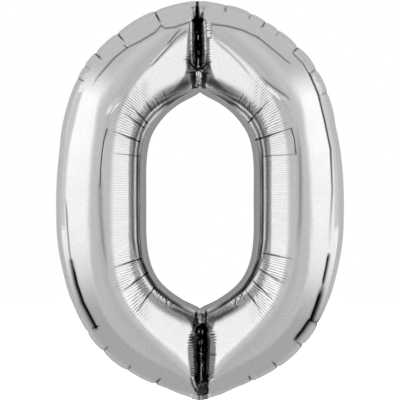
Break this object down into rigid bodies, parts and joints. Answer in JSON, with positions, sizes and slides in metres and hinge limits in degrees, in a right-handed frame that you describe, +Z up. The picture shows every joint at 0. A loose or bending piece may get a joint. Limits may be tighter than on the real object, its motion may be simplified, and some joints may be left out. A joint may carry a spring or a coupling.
{
  "type": "foil number balloon",
  "caption": "Inflated foil balloon shaped as the figure 0, with sealed margins, a self-sealing filling tail at the bottom and hang tabs at the top.",
  "frame": {"origin": "middle of the figure's width and height, on the plane of the heat-sealed seams", "axes": "+Z up along the figure's height, the figure faces -Y, +X to the viewer's right seen from the front"},
  "size_m": [0.6208, 0.178, 0.8625],
  "materials": {
    "silver_foil": "mirror-bright metallised film",
    "seal_layer": "semi-gloss melted film",
    "valve_film": "clear polyethylene film"
  },
  "bodies": {
    "balloon": {"front_foil_panel": "silver_foil", "rear_foil_panel": "silver_foil", "outer_heat_seal": "seal_layer", "hole_heat_seal": "seal_layer", "valve_neck_tube": "valve_film", "hang_tab_feet": "silver_foil"},
    "valve_front": {"valve_flap_front": "valve_film"},
    "valve_rear": {"valve_flap_rear": "valve_film"},
    "fill_tail": {"fill_tail_outer_ply": "silver_foil", "fill_tail_inner_ply": "silver_foil", "fill_tail_side_seals": "seal_layer", "valve_tail_tube": "valve_film"},
    "tab_left": {"hang_tab_left": "silver_foil"},
    "tab_right": {"hang_tab_right": "silver_foil"}
  },
  "joints": [
    {"name": "valve_front_open", "type": "hinge", "parent": "balloon", "child": "valve_front", "pos_m": [0, -0.00015, -0.4167], "axis": [1, 0, 0], "range_deg": [0, 6]},
    {"name": "valve_rear_open", "type": "hinge", "parent": "balloon", "child": "valve_rear", "pos_m": [0, 0.00015, -0.4167], "axis": [-1, 0, 0], "range_deg": [0, 6]},
    {"name": "fill_tail_unfold", "type": "hinge", "parent": "balloon", "child": "fill_tail", "pos_m": [0, 0, -0.4308], "axis": [-1, 0, 0], "range_deg": [0, 95]},
    {"name": "tab_left_raise", "type": "hinge", "parent": "balloon", "child": "tab_left", "pos_m": [-0.07453, 0.00195, 0.41423], "axis": [0.9494, 0, 0.314], "range_deg": [0, 90]},
    {"name": "tab_right_raise", "type": "hinge", "parent": "balloon", "child": "tab_right", "pos_m": [0.07453, 0.00195, 0.41423], "axis": [0.9494, 0, -0.314], "range_deg": [0, 90]}
  ],
  "couplings": [
    {"joint": "valve_rear_open", "follows": "valve_front_open", "ratio": 1}
  ]
}
